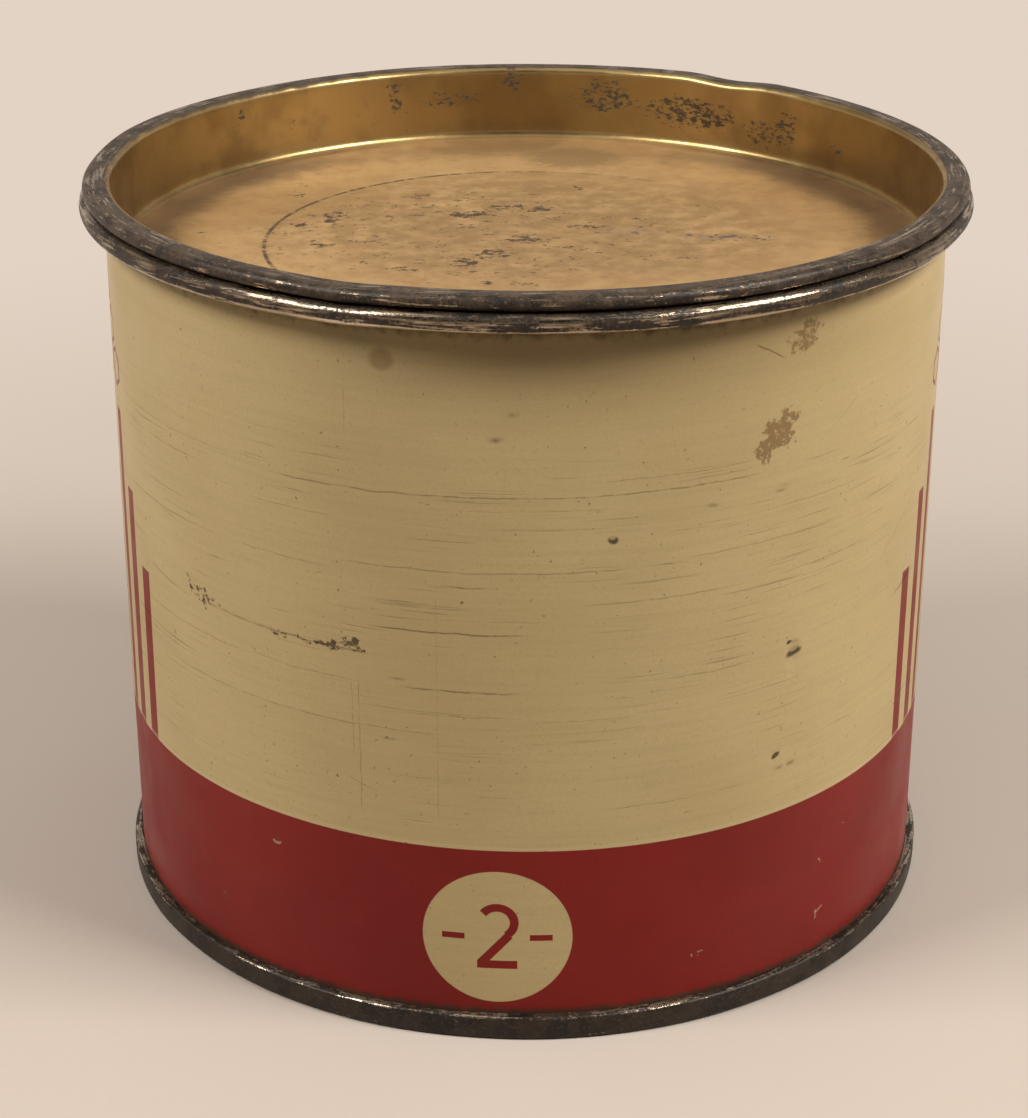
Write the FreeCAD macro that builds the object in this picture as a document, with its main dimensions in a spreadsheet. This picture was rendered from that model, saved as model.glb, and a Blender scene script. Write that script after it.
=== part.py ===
import FreeCAD, Part
import math
import os
import Sketcher

# Friction-lid honey tin, net 2 lb, on the 404 can diameter.
#
# Three pieces of tinplate, all turned about +Z, in millimetres:
#   can_body    the printed wall with its outward rolled curl, the lock of its side seam
#               at the back (+Y), and the filling, which stays solid up to the lid
#   lid         the plug lid: recessed panel, plug wall and a flattened curl on top
#   bottom_end  the countersunk end and the double seam that clasps the wall
# The origin is the middle of the circle that the tin stands on.

DRIVING = [
    ("overall_height", 94.7, "floor to the top of the lid's curl"),
    ("plate", 0.3, "tinplate"),
    ("body_radius", 52.8, "outside of the printed wall"),
    ("curl_reach", 3.1, "how far the body's curl stands out of the wall"),
    ("curl_height", 2.38, "the body's curl, top to bottom"),
    ("curl_slit", 0.22, "a curl's raw edge to the wall that it is rolled back to"),
    ("lap_width", 6.4, "side seam, round the wall"),
    ("lap_rise", 0.32, "side seam, out of the wall"),
    ("lap_round", 0.2, "side seam, long edges"),
    ("lap_stop", 0.4, "side seam's top end to the underside of the curl"),
    ("plug_gap", 0.3, "plug wall to the inside of the neck"),
    ("seat_gap", 0.15, "lid to what it rests on"),
    ("plug_depth", 10.2, "top of the lid to its panel"),
    ("plug_fillet", 1.2, "inside corner between panel and plug wall"),
    ("rim_reach", 3.19, "outside of the plug wall to the edge of the lid's curl"),
    ("rim_height", 1.66, "the lid's curl, top to bottom"),
    ("seam_thickness", 1.13, "double seam, out of the wall"),
    ("seam_height", 3.15, "double seam, floor to top"),
    ("seam_gap", 0.05, "wall to the seam that clasps it"),
    ("seam_foot_round", 0.55, "bottom edges of the double seam"),
    ("seam_top_round", 0.42, "top edge of the double seam"),
    ("countersink", 3.7, "floor to the underside of the end panel"),
    ("chuck_fillet", 0.9, "underside corner of end panel and chuck wall"),
    ("bead_inset", 8.8, "outside of the wall in to the middle of the end's larger bead"),
    ("bead_pitch", 11.0, "one expansion bead of the end to the next, middle to middle"),
    ("bead_width", 3.4, "each bead, foot to foot"),
    ("bead_crest", 1.2, "flat top of each bead"),
    ("bead_depth", 0.6, "each bead, out of the panel towards the floor"),
]

doc = FreeCAD.newDocument("honey_tin")
sheet = doc.addObject("Spreadsheet::Sheet", "Sizes")
for row, (alias, value, meaning) in enumerate(DRIVING, start=1):
    sheet.set(f"A{row}", meaning)
    sheet.set(f"B{row}", str(value))
    sheet.setAlias(f"B{row}", alias)
doc.recompute()


def cell(formula):
    """A formula over plain size names, with each name pointing at the sheet."""
    words = formula.replace("(", "( ").replace(")", " )").split()
    names = {alias for alias, _, _ in DRIVING}
    return " ".join(f"{sheet.Name}.{word}" if word in names else word for word in words)


def value_of(formula):
    """The number that a formula over plain size names gives now."""
    return float(sheet.evalExpression(cell(formula)))


def origin_plane(body, role):
    """One of a body's own origin planes, such as XZ_Plane."""
    return next(item for item in body.Origin.OriginFeatures if item.Role == role)


def pin(sketch, geometry, end, axis, formula):
    """Ties one coordinate of a point to a formula, or puts it on the sketch's axis at nought."""
    if formula == "0":
        line = -2 if axis == "X" else -1
        sketch.addConstraint(Sketcher.Constraint("PointOnObject", geometry, end, line))
        return
    kind = "DistanceX" if axis == "X" else "DistanceY"
    size = value_of(formula)
    index = sketch.addConstraint(Sketcher.Constraint(kind, -1, 1, geometry, end, size))
    sketch.setExpression(f"Constraints[{index}]", cell(formula))


def step(from_value, to_value):
    """The sign of a move along one axis: -1, 0 or 1."""
    move = to_value - from_value
    return 0 if abs(move) < 1e-6 else int(math.copysign(1, move))


def shifted(formula, sign, radius):
    """A coordinate moved by a bend radius along its axis."""
    if sign == 0:
        return formula
    return f"{formula} {'+' if sign > 0 else '-'} ({radius})"


def bend_ends(before, corner, after):
    """Where a bend starts and ends, as formulas, and the middle of its arc.

    A bent corner always joins a level run and an upright one."""
    x, z, radius = corner
    xv, zv, size = value_of(x), value_of(z), value_of(radius)
    come = (step(value_of(before[0]), xv), step(value_of(before[1]), zv))
    leave = (step(xv, value_of(after[0])), step(zv, value_of(after[1])))
    start = (shifted(x, -come[0], radius), shifted(z, -come[1], radius))
    end = (shifted(x, leave[0], radius), shifted(z, leave[1], radius))
    middle = FreeCAD.Vector(xv + size * (leave[0] - come[0]), zv + size * (leave[1] - come[1]), 0)
    return start, end, middle


def outline_points(corners):
    """The outline's points in order: (x formula, z formula, place, bend that follows or None)."""
    points = []
    for number, corner in enumerate(corners):
        if len(corner) == 2:
            points.append((*corner, None))
            continue
        start, end, middle = bend_ends(corners[number - 1], corner, corners[(number + 1) % len(corners)])
        points.append((*start, (middle, corner[2])))
        points.append((*end, None))
    placed = [(x, z, FreeCAD.Vector(value_of(x), value_of(z), 0), bend) for x, z, bend in points]
    # Two bends that meet share a point, so the run of no length between them is left out.
    following = placed[1:] + placed[:1]
    return [
        point for point, after in zip(placed, following)
        if point[3] or point[2].distanceToPoint(after[2]) > 1e-5
    ]


def profile_sketch(body, name, role, corners):
    """A closed outline in a plane through the axis: each corner is (x, z) or (x, z, bend radius)."""
    sketch = body.newObject("Sketcher::SketchObject", name)
    sketch.AttachmentSupport = (origin_plane(body, role), [""])
    sketch.MapMode = "FlatFace"
    points = outline_points(corners)
    ends = []
    for number, (_, _, start, bend) in enumerate(points):
        end = points[(number + 1) % len(points)][2]
        if bend:
            middle, radius = bend
            outward = (start + end) * 0.5 - middle
            crest = middle + outward.normalize() * value_of(radius)
            sketch.addGeometry(Part.ArcOfCircle(start, crest, end), False)
            index = sketch.addConstraint(Sketcher.Constraint("Radius", number, value_of(radius)))
            sketch.setExpression(f"Constraints[{index}]", cell(radius))
        else:
            sketch.addGeometry(Part.LineSegment(start, end), False)
        # An arc always runs anticlockwise, so its first point may be the outline's second.
        swapped = sketch.getPoint(number, 1).distanceToPoint(start) > 1e-4
        ends.append((2, 1) if swapped else (1, 2))
    for number, (x, z, _, _) in enumerate(points):
        first = ends[number][0]
        before = number - 1 if number else len(points) - 1
        sketch.addConstraint(Sketcher.Constraint("Coincident", before, ends[before][1], number, first))
        pin(sketch, number, first, "X", x)
        pin(sketch, number, first, "Y", z)
    return sketch


def turned(body, name, sketch):
    """Turns a sketch all the way round the tin's axis."""
    feature = body.newObject("PartDesign::Revolution", name)
    feature.Profile = sketch
    feature.ReferenceAxis = (sketch, ["V_Axis"])
    body.Tip = feature
    return feature


def upright_edges(shape, radius):
    """The names of the straight upright edges at one distance from the axis."""
    names = []
    for number, edge in enumerate(shape.Edges, start=1):
        foot, head = edge.Vertexes[0].Point, edge.Vertexes[-1].Point
        level = math.hypot(foot.x - head.x, foot.y - head.y) < 1e-6
        if level and abs(foot.z - head.z) > 1 and abs(math.hypot(foot.x, foot.y) - radius) < 1e-4:
            names.append(f"Edge{number}")
    return names


def rolled_curl(inner, edge, top, height):
    """A wall's upper end rolled outward and back under itself: a flattened tube of one sheet.

    It goes up the wall's inner face, over the curl to the raw edge, and back along the hollow
    inside to the wall's outer face. inner and edge are radii, and the raw edge stays one slit
    away from the wall."""
    outside = f"{height} / 2"
    hollow = f"{height} / 2 - plate"
    return [
        (inner, top, outside),
        (edge, top, outside),
        (edge, f"{top} - {height}", outside),
        (f"{inner} + plate + curl_slit", f"{top} - {height}"),
        (f"{inner} + plate + curl_slit", f"{top} - {height} + plate"),
        (f"{edge} - plate", f"{top} - {height} + plate", hollow),
        (f"{edge} - plate", f"{top} - plate", hollow),
        (f"{inner} + plate", f"{top} - plate", hollow),
    ]


def new_body(label):
    body = doc.addObject("PartDesign::Body", label)
    body.Label = label
    return body


# Levels and radii that follow from the sizes above.
NECK = "body_radius - plate"
CURL_TOP = "overall_height - rim_height - seat_gap"
CURL_EDGE = "body_radius + curl_reach"
PLUG_OUT = "body_radius - plate - plug_gap"
PLUG_IN = "body_radius - plate - plug_gap - plate"
RIM_EDGE = "body_radius - plate - plug_gap + rim_reach"
PANEL = "overall_height - plug_depth"
END_TOP = "countersink + plate"
CHUCK_OUT = "body_radius - plate - seam_gap"
CHUCK_IN = "body_radius - plate - seam_gap - plate"
SEAM_EDGE = "body_radius + seam_thickness"
SEAM_BACK = "body_radius + seam_gap"
OUTER_BEAD = "body_radius - bead_inset"
INNER_BEAD = "body_radius - bead_inset - bead_pitch"

# The can body: filling and wall in one outline, from the axis at the top of the filling,
# over the curl, down the wall into the double seam and back under the filling.
can_body = new_body("can_body")
wall = profile_sketch(can_body, "body_outline", "XZ_Plane", [
    ("0", f"{PANEL} - plate - seat_gap"),
    (NECK, f"{PANEL} - plate - seat_gap"),
    *rolled_curl(NECK, CURL_EDGE, CURL_TOP, "curl_height"),
    ("body_radius", "plate + seam_gap"),
    (NECK, "plate + seam_gap"),
    (NECK, f"{END_TOP} + seam_gap"),
    ("0", f"{END_TOP} + seam_gap"),
])
turned(can_body, "body_turned", wall)
doc.recompute()
plain_body_volume = can_body.Shape.Volume
# The lock of the side seam, flattened on the outside of the wall at the back, runs from the
# double seam up to the curl.
lap = profile_sketch(can_body, "side_seam_outline", "YZ_Plane", [
    (NECK, "seam_height + seam_gap"),
    ("body_radius + lap_rise", "seam_height + seam_gap"),
    ("body_radius + lap_rise", f"{CURL_TOP} - curl_height - lap_stop"),
    (NECK, f"{CURL_TOP} - curl_height - lap_stop"),
])
side_seam = turned(can_body, "side_seam", lap)
side_seam.Midplane = True
side_seam.setExpression("Angle", cell("lap_width / body_radius * 180 / pi"))
doc.recompute()
lap_edges = upright_edges(side_seam.Shape, value_of("body_radius + lap_rise"))
if len(lap_edges) != 2:
    raise RuntimeError(f"the side seam has {len(lap_edges)} long edges, not 2")
lap_rounds = can_body.newObject("PartDesign::Fillet", "side_seam_rounds")
lap_rounds.Base = (side_seam, lap_edges)
lap_rounds.setExpression("Radius", cell("lap_round"))
can_body.Tip = lap_rounds

# The lid: one sheet, drawn along its upper face from the middle out to the curl and back
# along its underside.
lid = new_body("lid")
lid_sheet = profile_sketch(lid, "lid_outline", "XZ_Plane", [
    ("0", PANEL),
    (PLUG_IN, PANEL, "plug_fillet"),
    *rolled_curl(PLUG_IN, RIM_EDGE, "overall_height", "rim_height"),
    (PLUG_OUT, f"{PANEL} - plate", "plug_fillet + plate"),
    ("0", f"{PANEL} - plate"),
])
turned(lid, "lid_turned", lid_sheet)


def bead(middle, level):
    """Four corners of one expansion bead, pressed down out of a level, from the axis outward."""
    return [
        (f"{middle} - bead_width / 2", level),
        (f"{middle} - bead_crest / 2", f"{level} - bead_depth"),
        (f"{middle} + bead_crest / 2", f"{level} - bead_depth"),
        (f"{middle} + bead_width / 2", level),
    ]


# The bottom end: from the axis out along the inside of the panel, down the chuck wall, across
# the floor of the channel that holds the wall, over the seam and back along the underside.
bottom_end = new_body("bottom_end")
end_sheet = profile_sketch(bottom_end, "end_outline", "XZ_Plane", [
    ("0", END_TOP),
    *bead(INNER_BEAD, END_TOP),
    *bead(OUTER_BEAD, END_TOP),
    (CHUCK_OUT, END_TOP, "chuck_fillet + plate"),
    (CHUCK_OUT, "plate"),
    (SEAM_BACK, "plate"),
    (SEAM_BACK, "seam_height"),
    (SEAM_EDGE, "seam_height", "seam_top_round"),
    (SEAM_EDGE, "0", "seam_foot_round"),
    (CHUCK_IN, "0", "seam_foot_round"),
    (CHUCK_IN, "countersink", "chuck_fillet"),
    *reversed(bead(OUTER_BEAD, "countersink")),
    *reversed(bead(INNER_BEAD, "countersink")),
    ("0", "countersink"),
])
turned(bottom_end, "end_turned", end_sheet)

doc.recompute()

if can_body.Shape.Volume <= plain_body_volume:
    raise RuntimeError("the side seam added nothing to the wall")
for item in doc.Objects:
    if "Invalid" in item.State or "Error" in item.State:
        raise RuntimeError(f"{item.Label} failed: {item.State}")
for piece in (can_body, lid, bottom_end):
    shape = piece.Shape
    if shape.isNull() or not shape.isValid() or len(shape.Solids) != 1:
        raise RuntimeError(f"{piece.Label} isn't one valid solid")

os.makedirs("parts", exist_ok=True)
for piece in (can_body, lid, bottom_end):
    piece.Shape.exportStep(f"parts/{piece.Label}.step")
    box = piece.Shape.optimalBoundingBox()
    print(f"{piece.Label}: {piece.Shape.Volume / 1000:.3f} cm3, z {box.ZMin:.2f} to {box.ZMax:.2f}, "
          f"width {box.XLength:.2f}, faces {len(piece.Shape.Faces)}")
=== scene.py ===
import itertools
import math

import bpy
from mathutils import Euler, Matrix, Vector, noise


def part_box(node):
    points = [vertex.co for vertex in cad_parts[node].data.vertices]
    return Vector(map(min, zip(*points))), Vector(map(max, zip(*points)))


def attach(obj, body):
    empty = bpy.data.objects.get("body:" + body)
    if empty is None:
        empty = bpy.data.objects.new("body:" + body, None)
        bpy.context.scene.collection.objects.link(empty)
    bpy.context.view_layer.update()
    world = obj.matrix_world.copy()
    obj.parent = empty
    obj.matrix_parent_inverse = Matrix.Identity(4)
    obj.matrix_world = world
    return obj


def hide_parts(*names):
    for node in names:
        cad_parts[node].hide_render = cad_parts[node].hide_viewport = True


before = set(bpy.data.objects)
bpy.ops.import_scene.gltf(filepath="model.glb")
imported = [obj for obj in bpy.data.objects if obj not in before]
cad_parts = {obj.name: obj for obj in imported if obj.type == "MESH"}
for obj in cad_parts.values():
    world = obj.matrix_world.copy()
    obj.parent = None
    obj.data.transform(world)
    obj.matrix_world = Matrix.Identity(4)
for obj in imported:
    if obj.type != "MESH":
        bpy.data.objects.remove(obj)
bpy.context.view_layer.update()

# The looks of the honey tin. Lengths are in millimetres up to the point where a mesh is made.
# An azimuth is in degrees about +Z: 0 is the front (-Y) and +90 is +X.

scene = bpy.context.scene
MM = 0.001


def box_mm(node):
    low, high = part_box(node)
    return low / MM, high / MM


lid_low, lid_high = box_mm("lid")
_, body_high = box_mm("can_body")
_, end_high = box_mm("bottom_end")

PLATE = 0.3  # tinplate
WALL = 52.8  # outside of the printed wall
NECK = WALL - PLATE
# The lid, from its curl down to its panel.
LID_TOP = lid_high.z
RIM_EDGE = lid_high.x
RIM_HEIGHT = 1.66
PLUG_OUT = NECK - 0.3
PLUG_IN = PLUG_OUT - PLATE
PLUG_FILLET = 1.2
PANEL = lid_low.z + PLATE  # upper face of the panel
RING = 33.2  # radius of the ring scribed into it
RING_DEPTH = 0.06
# The can body: its curl, the top of its filling and the lock of its side seam.
CURL_TOP = body_high.z
CURL_EDGE = body_high.x
CURL_HEIGHT = 2.38
CURL_SLIT = 0.22
CURL_FOOT = CURL_TOP - CURL_HEIGHT
FILL_TOP = PANEL - PLATE - 0.15
LAP_HALF = 3.2  # half of the lock's width
LAP_RISE = 0.32
LAP_TOP = CURL_FOOT - 0.4
BAND_TOP = 25.7  # of the red foot band
# The bottom end and its double seam.
END_TOP = end_high.z  # inside of the end panel
CHUCK_FILLET = 0.9
SEAM_EDGE = end_high.x
SEAM_TOP = 3.15
SEAM_GAP = 0.05
SEAM_FOOT_ROUND = 0.55
SEAM_TOP_ROUND = 0.42
OUTER_BEAD = WALL - 8.8  # middle of the larger expansion bead
INNER_BEAD = OUTER_BEAD - 11.0
BEAD_HALF = 1.7
BEAD_CREST_HALF = 0.6
BEAD_DEPTH = 0.6


# ---- shapes

BEND_STEPS = 6


def arc_of(azimuth):
    return math.radians(azimuth) * WALL


def bent(corners):
    """The points of an outline whose corners are (r, z) or (r, z, bend radius)."""
    points = []
    for number, corner in enumerate(corners):
        here = Vector(corner[:2])
        if len(corner) == 2:
            points.append(here)
            continue
        back = (Vector(corners[number - 1][:2]) - here).normalized()
        ahead = (Vector(corners[(number + 1) % len(corners)][:2]) - here).normalized()
        half = back.angle(ahead) / 2
        middle = here + (back + ahead).normalized() * corner[2] / math.sin(half)
        first = here + back * corner[2] / math.tan(half) - middle
        last = here + ahead * corner[2] / math.tan(half) - middle
        for index in range(BEND_STEPS + 1):
            points.append(middle + first.slerp(last, index / BEND_STEPS).normalized() * corner[2])
    return [p for p, q in zip(points, points[1:] + points[:1]) if (p - q).length > 1e-5]


def rolled_curl(inner, edge, top, height):
    """A wall's upper end rolled outward and back under itself, as a flattened tube of one sheet."""
    outside = height / 2
    hollow = outside - PLATE
    foot = top - height
    return [
        (inner, top, outside), (edge, top, outside), (edge, foot, outside),
        (inner + PLATE + CURL_SLIT, foot), (inner + PLATE + CURL_SLIT, foot + PLATE),
        (edge - PLATE, foot + PLATE, hollow), (edge - PLATE, top - PLATE, hollow),
        (inner + PLATE, top - PLATE, hollow)]


def bead(middle, level):
    """Four corners of an expansion bead pressed down, from the axis outward."""
    crest = level - BEAD_DEPTH
    return [(middle - BEAD_HALF, level), (middle - BEAD_CREST_HALF, crest),
            (middle + BEAD_CREST_HALF, crest), (middle + BEAD_HALF, level)]


def graded(low, high, step, fine=()):
    """Values from low to high, a step apart, and closer inside each (middle, reach, step) of fine."""
    values = [low]
    while values[-1] < high - 1e-9:
        here = values[-1]
        size = min([step] + [near for middle, reach, near in fine if abs(here - middle) <= reach])
        values.append(min(here + size, high))
    return values


def hump(value, middle, reach):
    """1 at the middle, falling smoothly to 0 at the reach."""
    share = abs(value - middle) / reach
    return 0.5 + 0.5 * math.cos(math.pi * share) if share < 1 else 0.0


def rise(value, low, high):
    """0 up to low and 1 from high on, with a smooth change between them."""
    share = min(max((value - low) / (high - low), 0.0), 1.0)
    return share * share * (3 - 2 * share)


# Slow waves round the tin: how far they reach in mm, how many there are, and their phase.
RIM_UP = [(0.045, 3, 0.6), (0.035, 7, 2.1)]
RIM_OUT = [(0.07, 2, 1.0), (0.04, 5, 0.0)]
SEAM_UP = [(0.05, 6, 2.0)]
SEAM_OUT = [(0.03, 9, 0.0), (0.025, 17, 1.0)]
# The rim's wear sets in between these heights and these radii.
RIM_LEVELS = (85.5, 91.0)
RIM_RADII = (40.0, 50.0)
LOW_WALL = LID_TOP - 12  # below this the wall has slow waves of its own
LOW_WAVE = 0.09
PANEL_WAVE = 0.05  # the panel's slight unevenness, and the size of its swells
PANEL_SWELL = 21
# Dents in the two curls: azimuth, reach in degrees, fall, push inward.
RIM_DENTS = [(-22, 8, 0.16, 0.06), (147, 8, 0.38, 0.25), (66, 16, 0.0, 0.28), (-95, 14, 0.10, 0.12)]
# Dings in the wall: azimuth, z, half width, half height, depth.
DINGS = [(10.5, 65.4, 0.75, 0.6, 0.16), (36.8, 47.4, 1.55, 1.15, 0.32)]
# Where the wall's mesh is finer round the dings: middle, reach, step, in z and in azimuth.
DING_ROWS = [(65.4, 1.0, 0.13), (47.4, 1.6, 0.19)]
DING_COLUMNS = [(10.5, 1.0, 0.14), (36.8, 1.9, 0.19)]


def waves(turn, listed):
    return sum(reach * math.sin(count * turn + phase) for reach, count, phase in listed)


def worn(azimuth, radius, height):
    """How far wear has moved a point of the tin: (outward, upward)."""
    turn = math.radians(azimuth)
    if height < LOW_WALL and radius > RIM_RADII[0]:
        # The wall is not quite round further down.
        return rise(height, 5.0, 30.0) * LOW_WAVE * math.sin(4 * turn + height * 0.03), 0.0
    up = waves(turn, RIM_UP)
    out = waves(turn, RIM_OUT)
    for middle, reach, fall, push in RIM_DENTS:
        share = hump(azimuth, middle, reach)
        up -= fall * share
        out -= push * share
    near_rim = rise(height, *RIM_LEVELS) * rise(radius, *RIM_RADII)
    swell = 0.0
    if height < PANEL + 0.1:
        across = Vector((radius * math.sin(turn), radius * math.cos(turn), 3.0)) / PANEL_SWELL
        swell = PANEL_WAVE * noise.noise(across) * rise(PLUG_IN - radius, 0.5, 5.0)
    return out * near_rim, up * near_rim + swell


def wall_worn(azimuth, radius, height):
    """The same for the can's body, with its dings and the lock of its side seam."""
    out, up = worn(azimuth, radius, height)
    if abs(radius - WALL) < 1e-3:
        for middle, level, half_width, half_height, depth in DINGS:
            reach = math.hypot(arc_of(azimuth - middle) / half_width,
                               (height - level) / half_height)
            out -= depth * hump(reach, 0, 1.0)
        from_seam = arc_of(180 - abs(azimuth))
        out += (LAP_RISE * rise(from_seam, LAP_HALF + 0.05, LAP_HALF - 0.15)
                * rise(height, LAP_TOP + 0.05, LAP_TOP - 0.1))
    return out, up


def seam_worn(azimuth, radius, height):
    """The double seam is a little uneven outside, and stays flat where the tin stands on it."""
    turn = math.radians(azimuth)
    share = rise(radius, WALL + 0.3, SEAM_EDGE)
    out = share * waves(turn, SEAM_OUT)
    up = rise(height, 2.0, 3.1) * share * waves(turn, SEAM_UP)
    return out, up


def placed(name, data):
    """A new object in the scene."""
    item = bpy.data.objects.new(name, data)
    scene.collection.objects.link(item)
    return item


def turned(name, outline, azimuths, change, materials, kind):
    """A closed mesh of an outline turned about the axis, on which it starts and ends.

    change gives a point's wear, and kind the index of the material of a run of the outline."""
    vertices = []
    rings = []
    for point in outline:
        if point.x < 1e-6:
            out, up = change(0, 0, point.y)
            rings.append([len(vertices)] * len(azimuths))
            vertices.append((0, 0, (point.y + up) * MM))
            continue
        rings.append(list(range(len(vertices), len(vertices) + len(azimuths))))
        for azimuth in azimuths:
            out, up = change(azimuth, point.x, point.y)
            turn = math.radians(azimuth)
            radius = (point.x + out) * MM
            vertices.append((radius * math.sin(turn), -radius * math.cos(turn), (point.y + up) * MM))
    faces = []
    kinds = []
    for number in range(len(outline) - 1):
        inner, outer = rings[number], rings[number + 1]
        index = kind(number, outline[number], outline[number + 1])
        for left in range(len(azimuths)):
            right = (left + 1) % len(azimuths)
            corners = [inner[left], outer[left], outer[right], inner[right]]
            faces.append(list(dict.fromkeys(corners)))
            kinds.append(index)
    mesh = bpy.data.meshes.new(name)
    mesh.from_pydata(vertices, [], faces)
    for material in materials:
        mesh.materials.append(material)
    mesh.polygons.foreach_set("material_index", kinds)
    mesh.polygons.foreach_set("use_smooth", [True] * len(faces))
    mesh.set_sharp_from_angle(angle=math.radians(50))
    mesh.update()
    return placed(name, mesh)


# ---- node helpers

PRINT_EDGE = 0.05  # half of the soft edge of printed shapes


class Nodes:
    """A node tree written as calls, each of which gives back an output socket."""

    def __init__(self, tree):
        self.tree = tree

    def add(self, kind, **settings):
        node = self.tree.nodes.new(kind)
        for key, value in settings.items():
            setattr(node, key, value)
        return node

    def feed(self, socket, value):
        """Links a socket to another one, or sets its value; a colour is given without its alpha."""
        if isinstance(value, bpy.types.NodeSocket):
            self.tree.links.new(value, socket)
            return
        if isinstance(value, tuple) and len(socket.default_value) == 4:
            value = (*value, 1.0)
        socket.default_value = value

    def fill(self, sockets, values):
        for key, value in values.items():
            self.feed(sockets[key], value)

    def call(self, node, values, output=0):
        for socket, value in zip(node.inputs, values):
            self.feed(socket, value)
        return node.outputs[output]

    def math(self, operation, *values, clamp=False):
        return self.call(self.add("ShaderNodeMath", operation=operation, use_clamp=clamp), values)

    def vector(self, operation, *values):
        node = self.add("ShaderNodeVectorMath", operation=operation)
        number = operation in {"LENGTH", "DOT_PRODUCT"}
        return self.call(node, values, "Value" if number else "Vector")

    def combine(self, *values):
        return self.call(self.add("ShaderNodeCombineXYZ"), values)

    def separate(self, value):
        node = self.add("ShaderNodeSeparateXYZ")
        self.feed(node.inputs[0], value)
        return node.outputs[0], node.outputs[1], node.outputs[2]

    def mix(self, share, first, second):
        """Between two colours."""
        node = self.add("ShaderNodeMix", data_type="RGBA")
        self.feed(node.inputs[0], share)
        self.feed(node.inputs[6], first)
        self.feed(node.inputs[7], second)
        return node.outputs[2]

    def blend(self, share, first, second):
        """Between two numbers."""
        node = self.add("ShaderNodeMix", data_type="FLOAT")
        self.feed(node.inputs[0], share)
        self.feed(node.inputs[2], first)
        self.feed(node.inputs[3], second)
        return node.outputs[0]

    def rise(self, value, low, high, most=1.0):
        """0 at low and most at high, with a smooth change; low may be the larger."""
        node = self.add("ShaderNodeMapRange", interpolation_type="SMOOTHSTEP")
        return self.call(node, (value, low, high, 0.0, most))

    def noise(self, point, stretch, detail=2.0, rough=0.5):
        """Noise over a point in mm; stretch is the frequency per mm, one number or three."""
        if isinstance(stretch, (int, float)):
            stretch = (stretch,) * 3
        place = self.vector("MULTIPLY", point, tuple(stretch))
        node = self.add("ShaderNodeTexNoise")
        self.fill(node.inputs, {"Vector": place, "Scale": 1.0, "Detail": detail, "Roughness": rough})
        return node.outputs[0]

    def above(self, value, limit, soft=PRINT_EDGE):
        """0 below a limit and 1 above it, with a narrow soft edge."""
        return self.rise(value, limit - soft, limit + soft)

    def below(self, value, limit, soft=PRINT_EDGE):
        return self.rise(value, limit + soft, limit - soft)

    def most(self, values):
        """The largest of several numbers. Each is taken up as it is made, which keeps few in store."""
        found = None
        for value in values:
            found = value if found is None else self.math("MAXIMUM", found, value)
        return found

    def times(self, *values):
        found = values[0]
        for value in values[1:]:
            found = self.math("MULTIPLY", found, value)
        return found

    def point_mm(self):
        place = self.add("ShaderNodeTexCoord").outputs["Object"]
        return self.vector("MULTIPLY", place, (1 / MM, 1 / MM, 1 / MM))

    def radius_of(self, x, y):
        return self.vector("LENGTH", self.combine(x, y, 0.0))

    def less(self, first, second):
        return self.math("SUBTRACT", first, second)

    def absolute(self, value):
        return self.math("ABSOLUTE", value)

    def sum(self, *values):
        found = values[0]
        for value in values[1:]:
            found = self.math("ADD", found, value)
        return found

    def tones(self, pattern, first, second):
        """Two tones of one colour, from the lower and the upper half of a pattern."""
        return self.mix(self.rise(pattern, 0.3, 0.7), first, second)

    def mark(self, point, middle, size, angle=0.0, strength=1.0, soft=None):
        """1 inside one mark on a flat or unrolled face and 0 outside it.

        Without soft it is an oval with these half sizes, and with it a bar whose edges fade over
        that width, one number or two."""
        node = self.add("ShaderNodeGroup")
        node.node_tree = mark_group("oval" if soft is None else "bar")
        turn = math.radians(angle)
        along = Vector((math.cos(turn), math.sin(turn), 0.0))
        across = Vector((-math.sin(turn), math.cos(turn), 0.0))
        if soft is None:
            along, across = along / size[0], across / size[1]
            return self.call(node, (point, (*middle, 0.0), along, across, strength))
        soft = soft if isinstance(soft, tuple) else (soft, soft)
        return self.call(node, (point, (*middle, 0.0), along, across, strength,
                                (*size, 0.0), (*soft, 1.0)))

    def cell(self, point, middle):
        """The line round one cell of a honeycomb."""
        node = self.add("ShaderNodeGroup")
        node.node_tree = mark_group("cell")
        return self.call(node, (point, (*middle, 0.0)))

    def away(self, point, middle):
        """The distance from a point of the face."""
        return self.vector("LENGTH", self.vector("SUBTRACT", point, (*middle, 0.0)))


CELL_REACH = 2.35  # middle of a honeycomb cell to the outside of its line
CELL_LINE = 0.55
OVAL_SOFT = 0.4  # share of an oval's half size over which it fades


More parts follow.
